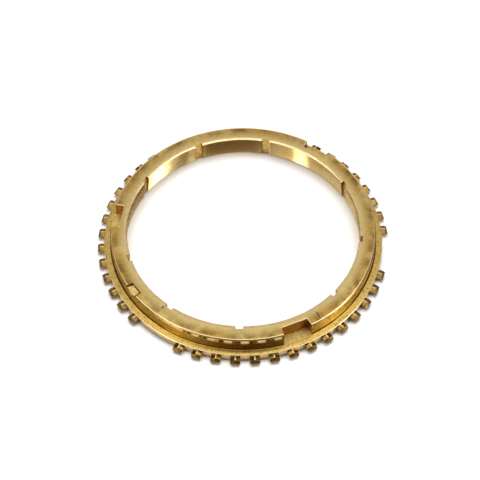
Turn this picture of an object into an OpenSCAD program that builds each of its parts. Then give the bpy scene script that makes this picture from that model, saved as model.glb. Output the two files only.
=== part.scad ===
// Brass synchronizer ring for a manual gearbox, cut from one forging.
// It stands on its gear side: the flange is down, the hub is up, and the axis is Z.
// Every third of the ring is alike: one key notch, one group of teeth and three oil grooves.

/* [Hub] */
// Outer diameter of the hub
hub_d = 120; // [100:1:150]
// Height of the hub above the flange
hub_rise = 6.9; // [5:0.1:10]
// Wall of the hub at the small end of the cone
hub_wall = 7.55; // [6.5:0.05:10]
// Bevel round the top edge of the hub
hub_bevel = 0.45; // [0.1:0.05:0.8]
// Fillet where the hub stands on the flange
foot_fillet = 0.6; // [0.2:0.05:1]

/* [Friction cone] */
// Half angle of the cone, which opens towards the gear side
cone_angle = 6; // [4:0.1:8]
// Radial width of the lead-in at the small end of the cone
lead_w = 1.15; // [0.3:0.05:1.5]
// Height of the lead-in
lead_h = 0.4; // [0.2:0.05:1.5]
// Bevel at the large end of the cone
mouth_bevel = 0.3; // [0.1:0.05:0.6]

/* [Oil grooves] */
// Width of a groove
groove_w = 3.4; // [2:0.1:5]
// Depth of a groove at the large end of the cone
groove_depth = 0.5; // [0.4:0.05:1]
// Angle from the groove at a toothless gap to the ones beside it
groove_step = 35; // [20:1:45]

/* [Flange] */
// Radial width of the flange outside the hub
flange_w = 3.2; // [2:0.1:6]
// Thickness of the flange
flange_t = 4.1; // [3:0.1:7]
// Bevel on the upper edge of the flange
flange_bevel = 0.3; // [0.1:0.05:0.6]
// Bevel on the gear side of the flange and of the teeth
gear_bevel = 0.9; // [0.2:0.05:1.2]

/* [Blocker teeth] */
// Tooth places round the full circle, a multiple of the number of key notches
tooth_places = 48; // [36:3:60]
// Tooth places left empty in each toothless gap
gap_places = 2; // [0:2:6]
// Length of a tooth outside the flange
tooth_l = 3; // [2:0.1:4]
// Width of a tooth at the eaves of its roof
tooth_w = 4.4; // [3:0.1:5]
// Width of a tooth at the gear side
tooth_foot_w = 3; // [2:0.1:4]
// Drop from the top of the flange to the ridge of a tooth
tooth_drop = 0.7; // [0.4:0.05:1.2]
// Angle between the two roof faces of a tooth
roof_angle = 145; // [130:1:165]
// Width of the flat along the ridge
ridge_w = 0.5; // [0.2:0.05:1]
// Radial width of the bevel over the tip of a tooth
tip_bevel_w = 1; // [0.3:0.05:1.1]
// Height of the bevel over the tip
tip_bevel_h = 1.3; // [0.8:0.05:1.6]

/* [Key notches] */
// Number of key notches
notch_count = 3; // [2:1:4]
// Width of a notch at the outer wall of the hub
notch_w = 12.9; // [8:0.1:16]
// Depth of a notch from the outer wall of the hub to its flat back
notch_depth = 4.4; // [2:0.1:5]

/* [Mark pad] */
// Length of the sunken pad along the edge of the hub
pad_w = 6.1; // [3:0.1:10]
// Width of the pad inwards from the edge
pad_l = 2.9; // [1.5:0.1:4]
// Depth of the pad
pad_depth = 0.7; // [0.2:0.05:1.5]
// Angle from the nearest toothless gap to the pad
pad_angle = 18; // [6:1:24]

/* [Hidden] */

brass = [0.76, 0.61, 0.30];
// Facets of the round shapes
$fn = 180;
// Overlap of a cutter past the face it opens, and of a tooth into the flange
past = 1;

ring_h = flange_t + hub_rise;
hub_r = hub_d / 2;
flange_r = hub_r + flange_w;
tip_r = flange_r + tooth_l;
ridge_z = flange_t - tooth_drop;
eaves_z = ridge_z - (tooth_w - ridge_w) / 2 / tan(roof_angle / 2);

lead_z = ring_h - lead_h;
cone_top_r = hub_r - hub_wall;
cone_foot_r = cone_top_r + lead_z * tan(cone_angle);
groove_r = cone_foot_r + groove_depth;

// One notch faces -Y, and the first toothless gap follows half a sector on
sector = 360 / notch_count;
notch_start = -90;
gap_start = notch_start + sector / 2;
tooth_step = 360 / tooth_places;
group_teeth = tooth_places / notch_count - gap_places;
notch_half_angle = asin(notch_w / 2 / hub_r);
notch_back = hub_r - notch_depth;

// Turns its children to every sector, from a first angle
module every_sector(first) {
    for (i = [0 : notch_count - 1])
        rotate(first + i * sector) children();
}

// Half section of the hub, as radius and height, with its foot sunk in the flange
module hub_section() {
    foot_r = hub_r + foot_fillet;
    foot_z = flange_t + foot_fillet;
    difference() {
        polygon([
            [0, flange_t - past],
            [foot_r, flange_t - past],
            [foot_r, foot_z],
            [hub_r, foot_z],
            [hub_r, ring_h - hub_bevel],
            [hub_r - hub_bevel, ring_h],
            [0, ring_h],
        ]);
        translate([foot_r, foot_z]) circle(foot_fillet);
    }
}

// Half section of the flange
module flange_section() {
    polygon([
        [0, 0],
        [flange_r - gear_bevel, 0],
        [flange_r, gear_bevel],
        [flange_r, flange_t - flange_bevel],
        [flange_r - flange_bevel, flange_t],
        [0, flange_t],
    ]);
}

// Half section of the bore: the cone between its mouth and its lead-in
module bore_section() {
    slope = tan(cone_angle);
    polygon([
        [0, -past],
        [cone_foot_r + mouth_bevel + past * (1 + slope), -past],
        [cone_foot_r - mouth_bevel * slope, mouth_bevel],
        [cone_top_r, lead_z],
        [cone_top_r + lead_w * (1 + past / lead_h), ring_h + past],
        [0, ring_h + past],
    ]);
}

// Half section of the rim that the teeth are cut from, past their top and bottom
module rim_section() {
    polygon([
        [flange_r - 3 * past, -past],
        [tip_r - gear_bevel - past, -past],
        [tip_r, gear_bevel],
        [tip_r, ridge_z - tip_bevel_h],
        [tip_r - tip_bevel_w * (1 + past / tip_bevel_h), ridge_z + past],
        [flange_r - 3 * past, ridge_z + past],
    ]);
}

// End view of one tooth: flanks that open to the eaves, and a roof with a flat along its ridge
module tooth_section() {
    polygon([
        [-tooth_foot_w / 2, 0],
        [tooth_foot_w / 2, 0],
        [tooth_w / 2, eaves_z],
        [ridge_w / 2, ridge_z],
        [-ridge_w / 2, ridge_z],
        [-tooth_w / 2, eaves_z],
    ]);
}

// One tooth along +X, before the rim gives it its tip
module tooth_prism() {
    translate([flange_r - 2 * past, 0, 0])
        rotate([90, 0, 90])
            linear_extrude(tooth_l + 3 * past) tooth_section();
}

// The groups of blocker teeth, each centred on a key notch
module blocker_teeth() {
    intersection() {
        rotate_extrude() rim_section();
        every_sector(notch_start)
            for (k = [0 : group_teeth - 1])
                rotate((k - (group_teeth - 1) / 2) * tooth_step) tooth_prism();
    }
}

// Cutter for one key notch along +X, through the hub: radial sides and a flat back
module key_notch() {
    outer = hub_r + foot_fillet + past;
    spread = tan(notch_half_angle);
    translate([0, 0, flange_t - 2 * past])
        linear_extrude(hub_rise + 3 * past)
            polygon([
                [notch_back, -notch_back * spread],
                [outer, -outer * spread],
                [outer, outer * spread],
                [notch_back, notch_back * spread],
            ]);
}

// The hub with its key notches, whose floors are the top of the flange
module notched_hub() {
    difference() {
        rotate_extrude() hub_section();
        every_sector(notch_start) key_notch();
    }
}

// Cutter for one oil groove along +X, straight down through the cone
module oil_groove() {
    inner = cone_top_r - past;
    translate([inner, -groove_w / 2, -past])
        cube([groove_r - inner, groove_w, ring_h + 2 * past]);
}

// Cutter for the sunken pad along +X, open at the edge of the hub
module mark_pad() {
    translate([hub_r - pad_l, -pad_w / 2, ring_h - pad_depth])
        cube([pad_l + past, pad_w, pad_depth + past]);
}

module synchronizer_ring() {
    color(brass)
        difference() {
            union() {
                rotate_extrude() flange_section();
                notched_hub();
                blocker_teeth();
            }
            rotate_extrude() bore_section();
            every_sector(gap_start)
                for (a = [-groove_step, 0, groove_step])
                    rotate(a) oil_groove();
            rotate(gap_start - sector - pad_angle) mark_pad();
        }
}

synchronizer_ring();
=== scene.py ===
import math

import bmesh
import bpy
from mathutils import Matrix, Vector


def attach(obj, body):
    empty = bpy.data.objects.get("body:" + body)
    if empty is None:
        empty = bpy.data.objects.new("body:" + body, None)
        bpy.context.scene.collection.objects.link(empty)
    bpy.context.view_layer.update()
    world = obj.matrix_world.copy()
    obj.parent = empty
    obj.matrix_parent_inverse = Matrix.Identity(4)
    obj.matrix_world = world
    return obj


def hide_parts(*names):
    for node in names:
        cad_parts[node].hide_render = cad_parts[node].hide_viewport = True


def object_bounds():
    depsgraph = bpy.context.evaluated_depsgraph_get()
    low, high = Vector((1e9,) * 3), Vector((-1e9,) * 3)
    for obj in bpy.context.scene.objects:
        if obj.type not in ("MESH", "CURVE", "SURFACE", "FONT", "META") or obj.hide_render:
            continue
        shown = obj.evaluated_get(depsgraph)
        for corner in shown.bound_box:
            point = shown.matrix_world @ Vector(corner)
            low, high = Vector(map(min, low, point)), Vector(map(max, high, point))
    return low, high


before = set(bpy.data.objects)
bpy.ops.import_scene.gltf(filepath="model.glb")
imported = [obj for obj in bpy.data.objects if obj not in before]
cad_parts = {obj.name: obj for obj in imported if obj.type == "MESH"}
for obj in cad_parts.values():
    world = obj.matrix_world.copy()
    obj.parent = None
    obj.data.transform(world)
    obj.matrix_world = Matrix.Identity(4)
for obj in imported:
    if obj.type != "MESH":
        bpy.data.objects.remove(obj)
cadLow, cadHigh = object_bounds()
mm = 0.001
tiny = 0.01 * mm
print("frame loaded:", sorted(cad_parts))


def hexColor(code):
    channels = [int(code[i:i + 2], 16) / 255 for i in (0, 2, 4)]
    return [*(c / 12.92 if c <= 0.04045 else ((c + 0.055) / 1.055) ** 2.4 for c in channels), 1]


# A setting is a property of the node, or one of its inputs by name or number
def addNode(tree, kind, settings=None, links=None):
    node = tree.nodes.new(kind)
    for name, value in (settings or {}).items():
        if name == "stops":
            for element, (position, code) in zip(node.color_ramp.elements, value):
                element.position = position
                element.color = hexColor(code)
        elif isinstance(name, str) and name in node.bl_rna.properties:
            setattr(node, name, value)
        else:
            node.inputs[name].default_value = value
    for name, output in (links or {}).items():
        tree.links.new(output, node.inputs[name])
    return node


# Turned body of the ring, sizes in mm
hub = {"diameter": 120, "wall": 7.55, "bevel": 0.45, "footFillet": 0.6}
cone = {"angle": 6, "leadWidth": 1.15, "leadHeight": 0.4, "mouthBevel": 0.3}
flange = {"width": 3.2, "thickness": 4.1, "bevel": 0.3, "gearBevel": 0.9}
lathe = {"stations": 720, "filletSteps": 6, "rimSteps": 3}

ringTop = cadHigh.z
flangeTop = flange["thickness"] * mm
hubR = hub["diameter"] / 2 * mm
footR = hubR + hub["footFillet"] * mm
footTop = flangeTop + hub["footFillet"] * mm
flangeR = hubR + flange["width"] * mm
flangeBevel = flange["bevel"] * mm
gearBevel = flange["gearBevel"] * mm
coneTopR = hubR - hub["wall"] * mm
leadZ = ringTop - cone["leadHeight"] * mm
coneFootR = coneTopR + leadZ * math.tan(math.radians(cone["angle"]))

# What is cut into it or raised on it, sizes in mm and angles in degrees
keyNotches = {"angles": (-90, 30, 150), "width": 12.9, "depth": 4.4}
oilGrooves = {"gapAngles": (-30, 90, 210), "spread": (-35, 0, 35), "width": 3.4, "depth": 0.5}
markPad = {"angle": -168, "width": 6.1, "length": 2.9, "depth": 0.7, "margin": 0.5}
blockerTeeth = {
    "pitch": 7.5, "group": 14, "length": 3, "width": 4.4, "footWidth": 3,
    "drop": 0.7, "roofAngle": 145, "ridgeWidth": 0.5, "tipBevel": (1, 1.3),
}
brokenEdges = {"rim": 0.28, "hub": 0.14, "teeth": 0.25, "segments": 3, "fromAngle": 28}
smoothBelow = {"teeth": 12, "body": 40}

notchHalf = math.degrees(math.asin(keyNotches["width"] * mm / 2 / hubR))
notchBack = hubR - keyNotches["depth"] * mm
notchCornerR = notchBack / math.cos(math.radians(notchHalf))
grooveR = coneFootR + oilGrooves["depth"] * mm
padBack = hubR - markPad["length"] * mm
padFloor = ringTop - markPad["depth"] * mm
ridgeZ = flangeTop - blockerTeeth["drop"] * mm
roofSlope = 1 / math.tan(math.radians(blockerTeeth["roofAngle"] / 2))
eavesZ = ridgeZ - (blockerTeeth["width"] - blockerTeeth["ridgeWidth"]) / 2 * mm * roofSlope
tipR = flangeR + blockerTeeth["length"] * mm
grooveAngles = [gap + side for gap in oilGrooves["gapAngles"] for side in oilGrooves["spread"]]
toothAngles = [
    notch + (k - (blockerTeeth["group"] - 1) / 2) * blockerTeeth["pitch"]
    for notch in keyNotches["angles"] for k in range(blockerTeeth["group"])
]


def radiusOf(co):
    return math.hypot(co.x, co.y)


def outwardOf(face):
    middle = face.calc_center_median()
    return Vector((middle.x, middle.y, 0)).normalized().dot(face.normal)


def turnFrom(angle, co):
    return (math.degrees(math.atan2(co.y, co.x)) - angle + 180) % 360 - 180


def halfTurn(width):
    # half angle of a parallel-sided cut of this width, at any radius
    return lambda radius: math.degrees(math.asin(width * mm / 2 / radius))


def lathedBody(bm):
    outline = {
        "mouth": (coneFootR, 0), "grooveFoot": (grooveR, 0), "rimLow": (flangeR, 0),
        "eaves": (flangeR, eavesZ), "rimHigh": (flangeR, flangeTop), "foot": (hubR, flangeTop),
        "padFloor": (hubR, padFloor), "edge": (hubR, ringTop), "padBack": (padBack, ringTop),
        "notchCorner": (notchCornerR, ringTop), "grooveTop": (grooveR, ringTop),
        "leadTop": (coneTopR + cone["leadWidth"] * mm, ringTop), "leadFoot": (coneTopR, leadZ),
    }
    corners = {name: bm.verts.new((radius, 0, z)) for name, (radius, z) in outline.items()}
    ends = list(corners.values())
    for start, end in zip(ends, ends[1:] + ends[:1]):
        bm.edges.new((start, end))
    for name, size, steps in (
        ("mouth", cone["mouthBevel"], 1), ("rimLow", flange["gearBevel"], 1),
        ("rimHigh", flange["bevel"], lathe["rimSteps"]),
        ("foot", hub["footFillet"], lathe["filletSteps"]), ("edge", hub["bevel"], 1),
    ):
        bmesh.ops.bevel(
            bm, geom=[corners[name]], offset=size * mm, segments=steps, profile=0.5,
            affect="VERTICES", material=-1,
        )
    bmesh.ops.spin(
        bm, geom=bm.verts[:] + bm.edges[:], axis=(0, 0, 1), cent=(0, 0, 0),
        angle=2 * math.pi, steps=lathe["stations"], use_merge=True,
    )
    bmesh.ops.remove_doubles(bm, verts=bm.verts, dist=tiny)


def snapStations(bm, angles, halfAt, inner, outer):
    # turns the nearest lines of the lathe mesh onto the sides of a cut or a tooth
    reach = 180 / lathe["stations"]
    for vert in bm.verts:
        radius = radiusOf(vert.co)
        if not inner - tiny < radius < outer + tiny:
            continue
        half = halfAt(radius)
        for angle in angles:
            turn = turnFrom(angle, vert.co)
            if abs(abs(turn) - half) < reach:
                missing = math.radians(math.copysign(half, turn) - turn)
                vert.co = Matrix.Rotation(missing, 3, "Z") @ vert.co


def loopEdges(bm, angle, half, radius, z):
    def onLoop(vert):
        there = abs(radiusOf(vert.co) - radius) < tiny and abs(vert.co.z - z) < tiny
        return there and abs(turnFrom(angle, vert.co)) < half + tiny / mm
    return [edge for edge in bm.edges if all(onLoop(vert) for vert in edge.verts)]


def openPocket(bm, angle, half, inside):
    faces = []
    for face in bm.faces:
        middle = face.calc_center_median()
        if abs(turnFrom(angle, middle)) < half and inside(radiusOf(middle), middle.z):
            faces.append(face)
    bmesh.ops.delete(bm, geom=faces, context="FACES")


def closePocket(bm, edges):
    bmesh.ops.bridge_loops(bm, edges=edges)
    bmesh.ops.holes_fill(bm, edges=[edge for edge in bm.edges if edge.is_boundary], sides=0)


def sinkPocket(bm, angle, half, backR, backFlat, floorR, floorZ):
    # a pocket cut down from the top face, with a flat back and open to the outside
    backEdges = loopEdges(bm, angle, half, backR, ringTop)
    floorEdges = loopEdges(bm, angle, half, floorR, floorZ)
    for vert in {vert for edge in backEdges for vert in edge.verts}:
        flatR = backFlat / math.cos(math.radians(turnFrom(angle, vert.co)))
        vert.co.xy *= flatR / radiusOf(vert.co)
    openPocket(bm, angle, half, lambda r, z: r > backFlat and z > floorZ + tiny)
    made = bmesh.ops.extrude_edge_only(bm, edges=backEdges)["geom"]
    lowVerts = [item for item in made if isinstance(item, bmesh.types.BMVert)]
    bmesh.ops.translate(bm, verts=lowVerts, vec=(0, 0, floorZ - ringTop))
    lowEdges = [
        item for item in made
        if isinstance(item, bmesh.types.BMEdge) and all(vert in lowVerts for vert in item.verts)
    ]
    closePocket(bm, lowEdges + floorEdges)


def cutGroove(bm, angle):
    half = halfTurn(oilGrooves["width"])(grooveR)
    rims = [loopEdges(bm, angle, half, grooveR, z) for z in (0, ringTop)]
    openPocket(bm, angle, half, lambda r, z: r < grooveR - tiny)
    closePocket(bm, rims[0] + rims[1])


def raiseTooth(bm, angle, faces):
    away = Matrix.Rotation(math.radians(-angle), 3, "Z")
    draft = 1 - blockerTeeth["footWidth"] / blockerTeeth["width"]
    for vert in {vert for face in faces for vert in face.verts}:
        radius = radiusOf(vert.co)
        place = away @ vert.co
        if abs(place.z - eavesZ) < tiny:
            place.z = ridgeZ - max(0, abs(place.y) - blockerTeeth["ridgeWidth"] / 2 * mm) * roofSlope
        else:
            place.y *= 1 - draft * (1 - place.z / eavesZ)
            place.x = math.sqrt(radius ** 2 - place.y ** 2)
        vert.co = away.inverted() @ place
    bevelWidth, bevelHeight = (size * mm for size in blockerTeeth["tipBevel"])
    for endR, top in ((tipR - bevelWidth, ridgeZ), (tipR, ridgeZ - bevelHeight)):
        made = bmesh.ops.extrude_face_region(bm, geom=faces)["geom"]
        bmesh.ops.delete(bm, geom=faces, context="FACES")
        faces = [item for item in made if isinstance(item, bmesh.types.BMFace)]
        for vert in [item for item in made if isinstance(item, bmesh.types.BMVert)]:
            place = away @ vert.co
            radius = endR - gearBevel if place.z < tiny else endR
            place.x = math.sqrt(radius ** 2 - place.y ** 2)
            place.z = min(place.z, top)
            vert.co = away.inverted() @ place


def breakEdges(bm, chosen, size):
    edges = [
        edge for edge in bm.edges
        if chosen(edge) and edge.calc_face_angle(0) > math.radians(brokenEdges["fromAngle"])
    ]
    return bmesh.ops.bevel(
        bm, geom=edges, offset=size * mm, segments=brokenEdges["segments"], profile=0.5,
        affect="EDGES", material=-1, clamp_overlap=True,
    )["faces"]


def buildRing():
    bm = bmesh.new()
    lathedBody(bm)
    snapStations(bm, keyNotches["angles"], lambda r: notchHalf, notchBack, footR)
    snapStations(bm, grooveAngles, halfTurn(oilGrooves["width"]), 0, grooveR)
    snapStations(bm, [markPad["angle"]], halfTurn(markPad["width"]), padBack, hubR)
    for width in (blockerTeeth["width"], blockerTeeth["ridgeWidth"]):
        snapStations(bm, toothAngles, halfTurn(width), flangeR - gearBevel, flangeR)
    print("ring: lathed body", len(bm.faces), "faces")

    for angle in keyNotches["angles"]:
        sinkPocket(bm, angle, notchHalf, notchCornerR, notchBack, footR, flangeTop)
    padHalf = halfTurn(markPad["width"])(hubR)
    sinkPocket(bm, markPad["angle"], padHalf, padBack, padBack, hubR, padFloor)
    for angle in grooveAngles:
        cutGroove(bm, angle)
    print("ring: notches, pad and grooves cut")

    wallFaces = [
        face for face in bm.faces
        if radiusOf(face.calc_center_median()) > flangeR - gearBevel
        and max(vert.co.z for vert in face.verts) < eavesZ + tiny
    ]
    rootHalf = halfTurn(blockerTeeth["width"])(flangeR)
    roots = [
        [face for face in wallFaces if abs(turnFrom(angle, face.calc_center_median())) < rootHalf]
        for angle in toothAngles
    ]
    for angle, faces in zip(toothAngles, roots):
        raiseTooth(bm, angle, faces)
    bmesh.ops.recalc_face_normals(bm, faces=bm.faces)
    bm.normal_update()
    for face in bm.faces:
        face.material_index = slotOf[finishFor(face)]
    print("ring: teeth raised,", len(toothAngles))
    return bm


def finishRing(bm):
    mouthTop = cone["mouthBevel"] * mm
    padReach = halfTurn(markPad["width"])(padBack) + markPad["margin"]

    def onTopRim(edge):
        onTop = all(vert.co.z > ringTop - tiny for vert in edge.verts)
        return onTop and all(radiusOf(vert.co) > grooveR + tiny for vert in edge.verts)

    def onHub(edge):
        radii = [radiusOf(vert.co) for vert in edge.verts]
        heights = [vert.co.z for vert in edge.verts]
        inBore = max(radii) < grooveR + 3 * tiny and max(heights) > mouthTop + tiny
        return inBore or (max(radii) < hubR + tiny and min(heights) > footTop - tiny)

    def onFlange(edge):
        return min(radiusOf(vert.co) for vert in edge.verts) > flangeR - flangeBevel - tiny

    def roundPad(face):
        middle = face.calc_center_median()
        nearPad = abs(turnFrom(markPad["angle"], middle)) < padReach
        return nearPad and radiusOf(middle) > padBack - flangeBevel

    # the broken edges round the top get a painted highlight, and those round the pad painted shade
    for face in breakEdges(bm, onTopRim, brokenEdges["rim"]):
        face.material_index = slotOf["shadedCorner" if roundPad(face) else "edge"]
    for face in breakEdges(bm, onHub, brokenEdges["hub"]):
        # round the pad the broken edges get painted shade
        if roundPad(face):
            face.material_index = slotOf["corner"]
    broken = breakEdges(bm, onFlange, brokenEdges["teeth"])
    bm.normal_update()
    for face in broken:
        onTooth = radiusOf(face.calc_center_median()) > flangeR + tiny
        # the broken eaves of the teeth get painted shade
        if onTooth and outwardOf(face) < stands["eaves"]:
            face.material_index = slotOf["corner"]
    bmesh.ops.remove_doubles(bm, verts=bm.verts, dist=tiny / 10)
    for face in bm.faces:
        face.smooth = True
    for edge in bm.edges:
        onTooth = min(radiusOf(vert.co) for vert in edge.verts) > flangeR - tiny
        limit = smoothBelow["teeth" if onTooth else "body"]
        edge.smooth = edge.calc_face_angle(0) < math.radians(limit)
    mesh = bpy.data.meshes.new("synchronizerRing")
    bm.to_mesh(mesh)
    bm.free()
    for finish in finishes.values():
        mesh.materials.append(finish)
    ring = bpy.data.objects.new("synchronizerRing", mesh)
    bpy.context.scene.collection.objects.link(ring)
    print("ring: finished", len(mesh.polygons), "faces")
    return ring


# Brass finishes, with pattern sizes in mm
def startBrass(name):
    brass = bpy.data.materials.new(name)
    brass.use_nodes = True
    tree = brass.node_tree
    shader = tree.nodes["Principled BSDF"]
    shader.inputs["Metallic"].default_value = 1
    point = addNode(tree, "ShaderNodeTexCoord").outputs["Object"]
    return brass, tree, shader, point


def planOf(tree, point):
    # the place as seen along the axis
    plan = addNode(tree, "ShaderNodeVectorMath", {"operation": "MULTIPLY", 1: (1, 1, 0)}, {0: point})
    return plan.outputs["Vector"]


def twoTone(look, tones):
    return list(zip(tones, (look["dark"], look["light"])))


# Face-turned and brushed brass: a soft tan sheen, cloudy, with brown patches of tarnish, dark specks and
# short marks that run out from the bore, rubbed lighter towards the bore
satinBrass = {
    "dark": "947a3e", "light": "d4bc76", "tones": (0.47, 0.71), "cloud": 6, "roughness": (0.3, 0.45),
    "markWidth": 0.45, "markLength": 6, "markWeight": 0.22, "markDepth": 0.05, "markBump": 0.25,
    "tarnish": "e0c8a0", "patch": 16, "patchEdge": (0.45, 0.57), "tarnishMost": 0.75,
    "rubbed": "e6d292", "rubbedFrom": 57.5, "rubbedTo": 54, "ragged": 5, "rubbedMost": 0.75,
    "speck": "6e5228", "speckSize": 0.9, "speckEdge": (0.58, 0.72), "speckMost": 0.35,
}
# Dents in that face: place from the axis, turn in degrees, half length and half width
topDents = {
    "nick": {"at": (11.2, -55.4), "turn": -85.5, "half": (2.0, 0.32)},
    "pit": {"at": (-48.7, -25.7), "turn": 20, "half": (0.8, 0.6)},
}
dentLook = {"color": "4a3216", "fullAt": 0.5, "most": 0.65, "depth": 0.3}


def satinTurnedBrass():
    brass, tree, shader, point = startBrass("satinTurnedBrass")
    plan = planOf(tree, point)
    radius = addNode(tree, "ShaderNodeVectorMath", {"operation": "LENGTH"}, {0: plan})
    spoke = addNode(tree, "ShaderNodeVectorMath", {"operation": "NORMALIZE"}, {0: plan})
    clouds = addNode(
        tree, "ShaderNodeTexNoise",
        {"Scale": 1 / (satinBrass["cloud"] * mm), "Detail": 4, "Roughness": 0.6}, {"Vector": point},
    )
    spokes = addNode(
        tree, "ShaderNodeVectorMath",
        {"operation": "SCALE", "Scale": hubR / (satinBrass["markWidth"] * mm)},
        {0: spoke.outputs["Vector"]},
    )
    along = addNode(
        tree, "ShaderNodeMath", {"operation": "DIVIDE", 1: satinBrass["markLength"] * mm},
        {0: radius.outputs["Value"]},
    )
    lift = addNode(tree, "ShaderNodeCombineXYZ", links={"Z": along.outputs["Value"]})
    marked = addNode(
        tree, "ShaderNodeVectorMath", {"operation": "ADD"},
        {0: spokes.outputs["Vector"], 1: lift.outputs["Vector"]},
    )
    marks = addNode(
        tree, "ShaderNodeTexNoise", {"Scale": 1, "Detail": 3, "Roughness": 0.65},
        {"Vector": marked.outputs["Vector"]},
    )
    blend = addNode(
        tree, "ShaderNodeMath", {"operation": "MULTIPLY_ADD", 1: satinBrass["markWeight"]},
        {0: marks.outputs["Fac"], 2: clouds.outputs["Fac"]},
    )
    tone = addNode(
        tree, "ShaderNodeValToRGB", {"stops": twoTone(satinBrass, satinBrass["tones"])},
        {"Fac": blend.outputs["Value"]},
    )

    patches = addNode(
        tree, "ShaderNodeTexNoise", {"Scale": 1 / (satinBrass["patch"] * mm), "Detail": 3},
        {"Vector": point},
    )
    patchLow, patchHigh = satinBrass["patchEdge"]
    stained = addNode(
        tree, "ShaderNodeMapRange",
        {"From Min": patchLow, "From Max": patchHigh, "To Max": satinBrass["tarnishMost"]},
        {"Value": patches.outputs["Fac"]},
    )
    tarnished = addNode(
        tree, "ShaderNodeMix",
        {"data_type": "RGBA", "blend_type": "MULTIPLY", 7: hexColor(satinBrass["tarnish"])},
        {0: stained.outputs["Result"], 6: tone.outputs["Color"]},
    )

    # the clouds push the border of the rubbed zone in and out, by half of ragged on average
    ragged = addNode(
        tree, "ShaderNodeMath", {"operation": "MULTIPLY_ADD", 1: satinBrass["ragged"] * mm},
        {0: clouds.outputs["Fac"], 2: radius.outputs["Value"]},
    )
    push = satinBrass["ragged"] / 2
    rubbed = addNode(
        tree, "ShaderNodeMapRange",
        {
            "From Min": (satinBrass["rubbedFrom"] + push) * mm,
            "From Max": (satinBrass["rubbedTo"] + push) * mm,
            "To Max": satinBrass["rubbedMost"],
        },
        {"Value": ragged.outputs["Value"]},
    )
    worn = addNode(
        tree, "ShaderNodeMix", {"data_type": "RGBA", 7: hexColor(satinBrass["rubbed"])},
        {0: rubbed.outputs["Result"], 6: tarnished.outputs[2]},
    )

    specks = addNode(
        tree, "ShaderNodeTexNoise", {"Scale": 1 / (satinBrass["speckSize"] * mm), "Detail": 2},
        {"Vector": point},
    )
    speckLow, speckHigh = satinBrass["speckEdge"]
    spotted = addNode(
        tree, "ShaderNodeMapRange",
        {"From Min": speckLow, "From Max": speckHigh, "To Max": satinBrass["speckMost"]},
        {"Value": specks.outputs["Fac"]},
    )
    specked = addNode(
        tree, "ShaderNodeMix", {"data_type": "RGBA", 7: hexColor(satinBrass["speck"])},
        {0: spotted.outputs["Result"], 6: worn.outputs[2]},
    )

    hollows = []
    for dent in topDents.values():
        x, y = dent["at"]
        length, width = dent["half"]
        placed = addNode(
            tree, "ShaderNodeMapping",
            {
                "vector_type": "TEXTURE", "Location": (x * mm, y * mm, ringTop),
                "Rotation": (0, 0, math.radians(dent["turn"])), "Scale": (length * mm, width * mm, 1),
            },
            {"Vector": point},
        )
        hollow = addNode(
            tree, "ShaderNodeTexGradient", {"gradient_type": "SPHERICAL"},
            {"Vector": placed.outputs["Vector"]},
        )
        hollows.append(hollow.outputs["Fac"])
    dents = addNode(tree, "ShaderNodeMath", {"operation": "MAXIMUM"}, dict(enumerate(hollows)))
    shade = addNode(
        tree, "ShaderNodeMapRange", {"From Max": dentLook["fullAt"], "To Max": dentLook["most"]},
        {"Value": dents.outputs["Value"]},
    )
    color = addNode(
        tree, "ShaderNodeMix", {"data_type": "RGBA", 7: hexColor(dentLook["color"])},
        {0: shade.outputs["Result"], 6: specked.outputs[2]},
    )

    smoothest, roughest = satinBrass["roughness"]
    gloss = addNode(
        tree, "ShaderNodeMapRange", {"To Min": roughest, "To Max": smoothest},
        {"Value": marks.outputs["Fac"]},
    )
    bump = addNode(
        tree, "ShaderNodeBump",
        {"Strength": satinBrass["markBump"], "Distance": satinBrass["markDepth"] * mm},
        {"Height": marks.outputs["Fac"]},
    )
    sunk = addNode(
        tree, "ShaderNodeBump", {"invert": True, "Strength": 1, "Distance": dentLook["depth"] * mm},
        {"Height": dents.outputs["Value"], "Normal": bump.outputs["Normal"]},
    )
    tree.links.new(color.outputs[2], shader.inputs["Base Color"])
    tree.links.new(gloss.outputs["Result"], shader.inputs["Roughness"])
    tree.links.new(sunk.outputs["Normal"], shader.inputs["Normal"])
    return brass


# Fine-turned brass wall: a clear gold mirror, drawn out by the tool's lines round the ring, which are
# coarser here than a real fine cut so that they show
wallBrass = {
    "dark": "c4a664", "light": "d8be80", "tones": (0.35, 0.65), "cloud": 12, "roughness": 0.12,
    "line": 0.35, "lineDepth": 0.02, "lineBump": 0.2,
}


def fineTurnedBrass():
    brass, tree, shader, point = startBrass("fineTurnedBrass")
    height = addNode(tree, "ShaderNodeSeparateXYZ", links={0: point})
    clouds = addNode(
        tree, "ShaderNodeTexNoise", {"Scale": 1 / (wallBrass["cloud"] * mm), "Detail": 3},
        {"Vector": point},
    )
    tone = addNode(
        tree, "ShaderNodeValToRGB", {"stops": twoTone(wallBrass, wallBrass["tones"])},
        {"Fac": clouds.outputs["Fac"]},
    )
    lines = addNode(
        tree, "ShaderNodeTexNoise",
        {"noise_dimensions": "1D", "Scale": 1 / (wallBrass["line"] * mm), "Detail": 2},
        {"W": height.outputs["Z"]},
    )
    bump = addNode(
        tree, "ShaderNodeBump",
        {"Strength": wallBrass["lineBump"], "Distance": wallBrass["lineDepth"] * mm},
        {"Height": lines.outputs["Fac"]},
    )
    shader.inputs["Roughness"].default_value = wallBrass["roughness"]
    tree.links.new(tone.outputs["Color"], shader.inputs["Base Color"])
    tree.links.new(bump.outputs["Normal"], shader.inputs["Normal"])
    return brass


# Friction cone with a fine turned thread: its upper flanks mirror the room and draw it out into
# upright bands; the thread itself is finer than a pixel of the photo
coneBrass = {
    "dark": "dcbc70", "light": "f0da9a", "tones": (0.3, 0.7), "cloud": 15, "roughness": 0.12,
    "thread": 0.42, "threadDepth": 0.38, "threadCurve": 0.5,
}


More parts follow.
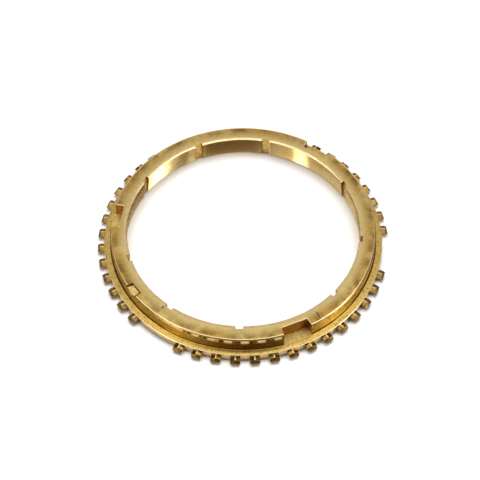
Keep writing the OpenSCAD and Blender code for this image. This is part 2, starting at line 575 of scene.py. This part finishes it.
def threadedConeBrass():
    brass, tree, shader, point = startBrass("threadedConeBrass")
    height = addNode(tree, "ShaderNodeSeparateXYZ", links={0: point})
    clouds = addNode(
        tree, "ShaderNodeTexNoise", {"Scale": 1 / (coneBrass["cloud"] * mm), "Detail": 3},
        {"Vector": point},
    )
    tone = addNode(
        tree, "ShaderNodeValToRGB", {"stops": twoTone(coneBrass, coneBrass["tones"])},
        {"Fac": clouds.outputs["Fac"]},
    )
    turns = addNode(
        tree, "ShaderNodeMath", {"operation": "DIVIDE", 1: -coneBrass["thread"] * mm},
        {0: height.outputs["Z"]},
    )
    flank = addNode(tree, "ShaderNodeMath", {"operation": "FRACT"}, {0: turns.outputs["Value"]})
    curve = coneBrass["threadCurve"]
    hollow = addNode(
        tree, "ShaderNodeMath", {"operation": "MULTIPLY_ADD", 1: curve, 2: 1 - curve},
        {0: flank.outputs["Value"]},
    )
    thread = addNode(
        tree, "ShaderNodeMath", {"operation": "MULTIPLY"},
        {0: flank.outputs["Value"], 1: hollow.outputs["Value"]},
    )
    bump = addNode(
        tree, "ShaderNodeBump", {"Strength": 1, "Distance": coneBrass["threadDepth"] * mm},
        {"Height": thread.outputs["Value"]},
    )
    shader.inputs["Roughness"].default_value = coneBrass["roughness"]
    tree.links.new(tone.outputs["Color"], shader.inputs["Base Color"])
    tree.links.new(bump.outputs["Normal"], shader.inputs["Normal"])
    return brass


# Grain of forged and milled brass: small dark pits in two tones
forgedGrain = {"Detail": 4, "Roughness": 0.68}
grainTones = (0.35, 0.65)
grainDepth = 0.08

# Forged brass under a light turning cut: bright gold, with small dark pits and fine lines round the
# ring that lean outwards and catch the light from above, coarser than a real fine cut so that they show
flangeBrass = {
    "dark": "7e622a", "light": "d6ba68", "tones": (0.3, 0.5), "grain": 0.9, "bump": 0.3,
    "line": 0.4, "lineDepth": 0.006, "roughness": 0.28,
}


def turnedFlangeBrass():
    brass, tree, shader, point = startBrass("turnedFlangeBrass")
    radius = addNode(tree, "ShaderNodeVectorMath", {"operation": "LENGTH"}, {0: planOf(tree, point)})
    grain = addNode(
        tree, "ShaderNodeTexNoise", {"Scale": 1 / (flangeBrass["grain"] * mm), **forgedGrain},
        {"Vector": point},
    )
    tone = addNode(
        tree, "ShaderNodeValToRGB", {"stops": twoTone(flangeBrass, flangeBrass["tones"])},
        {"Fac": grain.outputs["Fac"]},
    )
    turns = addNode(
        tree, "ShaderNodeMath", {"operation": "DIVIDE", 1: -flangeBrass["line"] * mm},
        {0: radius.outputs["Value"]},
    )
    lines = addNode(tree, "ShaderNodeMath", {"operation": "FRACT"}, {0: turns.outputs["Value"]})
    turned = addNode(
        tree, "ShaderNodeBump", {"Strength": 1, "Distance": flangeBrass["lineDepth"] * mm},
        {"Height": lines.outputs["Value"]},
    )
    bump = addNode(
        tree, "ShaderNodeBump", {"Strength": flangeBrass["bump"], "Distance": grainDepth * mm},
        {"Height": grain.outputs["Fac"], "Normal": turned.outputs["Normal"]},
    )
    shader.inputs["Roughness"].default_value = flangeBrass["roughness"]
    tree.links.new(tone.outputs["Color"], shader.inputs["Base Color"])
    tree.links.new(bump.outputs["Normal"], shader.inputs["Normal"])
    return brass


def grainyBrass(name, look, metallic=1):
    brass, tree, shader, point = startBrass(name)
    grain = addNode(
        tree, "ShaderNodeTexNoise", {"Scale": 1 / (look["grain"] * mm), **forgedGrain},
        {"Vector": point},
    )
    tone = addNode(
        tree, "ShaderNodeValToRGB", {"stops": twoTone(look, grainTones)}, {"Fac": grain.outputs["Fac"]}
    )
    bump = addNode(
        tree, "ShaderNodeBump", {"Strength": look["bump"], "Distance": grainDepth * mm},
        {"Height": grain.outputs["Fac"]},
    )
    shader.inputs["Metallic"].default_value = metallic
    shader.inputs["Roughness"].default_value = look["roughness"]
    tree.links.new(tone.outputs["Color"], shader.inputs["Base Color"])
    tree.links.new(bump.outputs["Normal"], shader.inputs["Normal"])
    return brass


# Broken edges, ridge flats and the outer strip of the foot fillet: paler than the faces, a painted
# highlight that is bright from every side
paintedHighlightBrass = {"dark": "e8cc94", "light": "fae8bc", "grain": 1.5, "bump": 0.1, "roughness": 0.28}
# Lead-in of the cone, turned in the same cut as the bore: a clear mirror of what is overhead
leadBrass = {"dark": "d8c08c", "light": "ead6a6", "grain": 2.0, "bump": 0.05, "roughness": 0.2}
# Eaves of the teeth, corners of the pad and the bevel next to the bench: painted shade and shadow, a
# dark dull film, which isn't metal
paintedShadeFilm = {"dark": "201206", "light": "442c12", "grain": 1.2, "bump": 0.1, "roughness": 0.5}
# Flanks of the teeth, which the sleeve rubs: bare and pale, so they mirror the bench
flankBrass = {"dark": "b4965c", "light": "d8bc84", "grain": 1.2, "bump": 0.1, "roughness": 0.25}
# Fillet at the foot of the hub and the small walls of the pad: painted shade in the corners, dark, dull
# and warm
paintedCornerShadeBrass = {"dark": "3c240a", "light": "6a4412", "grain": 1.2, "bump": 0.1, "roughness": 0.5}
# Floors that an end mill has left: paler and duller than the turned faces
pocketBrass = {"dark": "ccaa5a", "light": "f6e094", "grain": 1.4, "bump": 0.3, "roughness": 0.5}
# Rim of the flange, ground last: clean and rosy, a soft mirror of the bench
rimBrass = {"dark": "c4a068", "light": "d8b880", "grain": 2.0, "bump": 0.15, "roughness": 0.2}
# Teeth struck in the forging die: a dark tight skin that mirrors the hub beside it
toothBrass = {"dark": "685026", "light": "9c7e3a", "grain": 1.6, "bump": 0.12, "roughness": 0.15}
# Tips of the teeth, which slide in and out of the sleeve: the same skin, scuffed dull
tipBrass = {"dark": "5a4624", "light": "86703c", "grain": 1.2, "bump": 0.25, "roughness": 0.4}
# Floors of the oil grooves, planed after the cone: plain dull brass
grooveBrass = {"dark": "a8884a", "light": "d0ae66", "grain": 1.6, "bump": 0.2, "roughness": 0.35}
# As-milled brass: short soft reflections and a little tarnish in its grain
milledBrass = {"dark": "865f2d", "light": "b48848", "grain": 1.6, "bump": 0.2, "roughness": 0.24}

finishes = {
    "top": satinTurnedBrass(),
    "wall": fineTurnedBrass(),
    "cone": threadedConeBrass(),
    "edge": grainyBrass("paintedHighlightEdgeBrass", paintedHighlightBrass),
    "flange": turnedFlangeBrass(),
    "rim": grainyBrass("groundRimBrass", rimBrass),
    "tooth": grainyBrass("forgedToothBrass", toothBrass),
    "milled": grainyBrass("asMilledBrass", milledBrass),
    "pocket": grainyBrass("endMilledBrass", pocketBrass),
    "corner": grainyBrass("paintedShadeCornerFilm", paintedShadeFilm, metallic=0),
    "shadedCorner": grainyBrass("paintedCornerShade", paintedCornerShadeBrass),
    "flank": grainyBrass("rubbedFlankBrass", flankBrass),
    "groove": grainyBrass("planedGrooveBrass", grooveBrass),
    "tip": grainyBrass("scuffedTipBrass", tipBrass),
    "lead": grainyBrass("turnedLeadBrass", leadBrass),
}
slotOf = {kind: slot for slot, kind in enumerate(finishes)}
print("finishes mixed:", len(finishes))

# How a face stands, by how far its normal points up and how far out from the axis
stands = {
    "level": 0.99, "footStrip": 0.97, "steep": 0.5, "sloped": 0.2, "undercut": -0.5,
    "rim": 0.99, "toothEnd": 0.7, "toothTip": 0.3, "eaves": 0.2, "wall": 0.05, "bore": -0.9,
}


def finishFor(face):
    middle = face.calc_center_median()
    radius = radiusOf(middle)
    up = face.normal.z
    out = outwardOf(face)
    if up < stands["undercut"]:
        # the bevel next to the bench gets a painted shadow, the dark line where the ring meets the bench
        nextToBench = middle.z > tiny and radius > hubR
        return "corner" if nextToBench else "milled"
    if radius > flangeR + tiny:
        if up > stands["level"]:
            # the flat along a ridge gets a painted highlight
            return "edge"  # the flat along a ridge
        if up > stands["sloped"]:
            return "tip" if out > stands["toothTip"] else "tooth"
        return "tooth" if out > stands["toothEnd"] else "flank"
    if radius > flangeR - flangeBevel:
        # the upper bevel of the rim gets a painted highlight
        return "rim" if out > stands["rim"] else "edge"
    if middle.z > ringTop - tiny:
        return "top"
    if radius < grooveR - tiny and up > stands["sloped"]:
        return "lead"
    if radius < grooveR - tiny and out < stands["bore"]:
        return "cone"
    if up > stands["level"]:
        return "flange" if radius > hubR else "pocket"
    if radius > hubR + tiny:
        # the foot fillet: a painted highlight on its outer strip, painted shade on the rest
        return "edge" if up > stands["footStrip"] else "shadedCorner"  # the foot fillet
    # painted shade on the walls of the pad
    if radius < hubR - tiny and middle.z > padFloor and up < stands["steep"]:
        return "shadedCorner"  # the walls of the pad
    if out > stands["wall"] and radius > hubR - hub["bevel"] * mm:
        return "milled" if up > stands["steep"] else "wall"
    if abs(radius - grooveR) < tiny and out < stands["bore"]:
        return "groove"
    return "milled"


ring = finishRing(buildRing())
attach(ring, "root")
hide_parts("synchronizer_ring")

# Plain pale bench top under the ring, half its side in m
bench = {"half": 2, "color": "f4f4f4", "roughness": 0.6}


def layFloor():
    mesh = bpy.data.meshes.new("floor")
    bm = bmesh.new()
    bmesh.ops.create_grid(bm, x_segments=1, y_segments=1, size=bench["half"])
    bm.to_mesh(mesh)
    bm.free()
    floor = bpy.data.objects.new("floor", mesh)
    bpy.context.scene.collection.objects.link(floor)
    paint = bpy.data.materials.new("palePaint")
    paint.use_nodes = True
    shader = paint.node_tree.nodes["Principled BSDF"]
    shader.inputs["Base Color"].default_value = hexColor(bench["color"])
    shader.inputs["Roughness"].default_value = bench["roughness"]
    mesh.materials.append(paint)
    print("bench laid")


layFloor()

# Camera at the photo's angle, in degrees and mm, with its near and far limits in m; the offsets are the
# ring's place right of and above the camera's axis
camera = {
    "azimuth": -22.95, "elevation": 53.63, "roll": 0.27, "distance": 586.6, "lens": 97.5, "sensor": 36,
    "offsetRight": 1.4, "offsetUp": 5.61, "limits": (0.01, 100),
}


def directionTo(around, above):
    turn = math.radians(around)
    rise = math.radians(above)
    return Vector((math.cos(turn) * math.cos(rise), math.sin(turn) * math.cos(rise), math.sin(rise)))


def addCamera():
    back = directionTo(camera["azimuth"] - 90, camera["elevation"])
    level = Vector((0, 0, 1)).cross(back).normalized()
    upright = back.cross(level)
    roll = math.radians(camera["roll"])
    right = level * math.cos(roll) - upright * math.sin(roll)
    up = level * math.sin(roll) + upright * math.cos(roll)
    data = bpy.data.cameras.new("camera")
    data.lens = camera["lens"]
    data.sensor_width = camera["sensor"]
    data.clip_start, data.clip_end = camera["limits"]
    placed = bpy.data.objects.new("camera", data)
    bpy.context.scene.collection.objects.link(placed)
    turned = Matrix((right, up, back)).transposed().to_4x4()
    away = back * camera["distance"] - right * camera["offsetRight"] - up * camera["offsetUp"]
    placed.matrix_world = Matrix.Translation(Vector((0, 0, ringTop)) + away * mm) @ turned
    bpy.context.scene.camera = placed
    print("camera placed")


addCamera()
bpy.context.scene.view_settings.view_transform = "Standard"


# Softboxes round the ring as the camera sees them: degrees round from its right, degrees up, and m;
# the fill, a little cooler, lights the bench and isn't mirrored in the brass
studio = {
    "overhead": {"round": 90, "up": 87, "away": 1.0, "size": (1.2, 0.55), "radiance": 1.65},
    "right": {"round": -15, "up": 22, "away": 1.2, "size": (0.34, 0.78), "radiance": 5.2},
    "rightSoft": {"round": -27, "up": 22, "away": 1.25, "size": (0.3, 0.8), "radiance": 0.6},
    "rightWide": {"round": -38, "up": 22, "away": 1.3, "size": (0.5, 0.85), "radiance": 0.12},
    "rightStrip": {"round": -53, "up": 21, "away": 1.25, "size": (0.3, 0.7), "radiance": 0.85},
    "rightHigh": {"round": 0, "up": 57, "away": 1.3, "size": (1.2, 0.55), "radiance": 0.8},
    "left": {"round": 220, "up": 20, "away": 1.2, "size": (0.2, 0.68), "radiance": 5.6},
    "leftSoft": {"round": 232, "up": 21, "away": 1.25, "size": (0.38, 0.7), "radiance": 0.3},
    "leftWide": {"round": 212, "up": 22, "away": 1.3, "size": (2.05, 0.85), "radiance": 0.54},
    "leftBack": {"round": 163, "up": 12, "away": 1.4, "size": (0.55, 0.6), "radiance": 0.5},
    "leftHigh": {"round": 188, "up": 57, "away": 1.3, "size": (0.9, 0.55), "radiance": 0.75},
    "back": {"round": 90, "up": 48, "away": 1.3, "size": (1.45, 1.15), "radiance": 0.66},
    "backLow": {"round": 90, "up": 12, "away": 1.63, "size": (2.4, 0.65), "radiance": 0.6},
    "fill": {
        "round": 90, "up": 76, "away": 1.5, "size": (0.9, 0.8), "radiance": 6.4,
        "tint": "f0f9ff", "mirrored": False,
    },
}
surroundings = {"color": "b48862", "strength": 0.28}


def addLight(name, box):
    width, height = box["size"]
    data = bpy.data.lights.new(name, "AREA")
    data.shape = "RECTANGLE"
    data.size = width
    data.size_y = height
    data.energy = box["radiance"] * math.pi * width * height
    data.color = hexColor(box.get("tint", "ffffff"))[:3]
    light = bpy.data.objects.new(name, data)
    bpy.context.scene.collection.objects.link(light)
    light.visible_glossy = box.get("mirrored", True)
    back = directionTo(box["round"] + camera["azimuth"], box["up"])
    side = Vector((0, 0, 1)).cross(back).normalized()
    facing = Matrix((side, back.cross(side), back)).transposed().to_4x4()
    light.matrix_world = Matrix.Translation(back * box["away"]) @ facing


def lightStudio():
    for name, box in studio.items():
        addLight(name, box)
    world = bpy.data.worlds.new("studio")
    bpy.context.scene.world = world
    world.use_nodes = True
    backdrop = world.node_tree.nodes["Background"]
    backdrop.inputs["Color"].default_value = hexColor(surroundings["color"])
    backdrop.inputs["Strength"].default_value = surroundings["strength"]
    print("studio lit")


lightStudio()
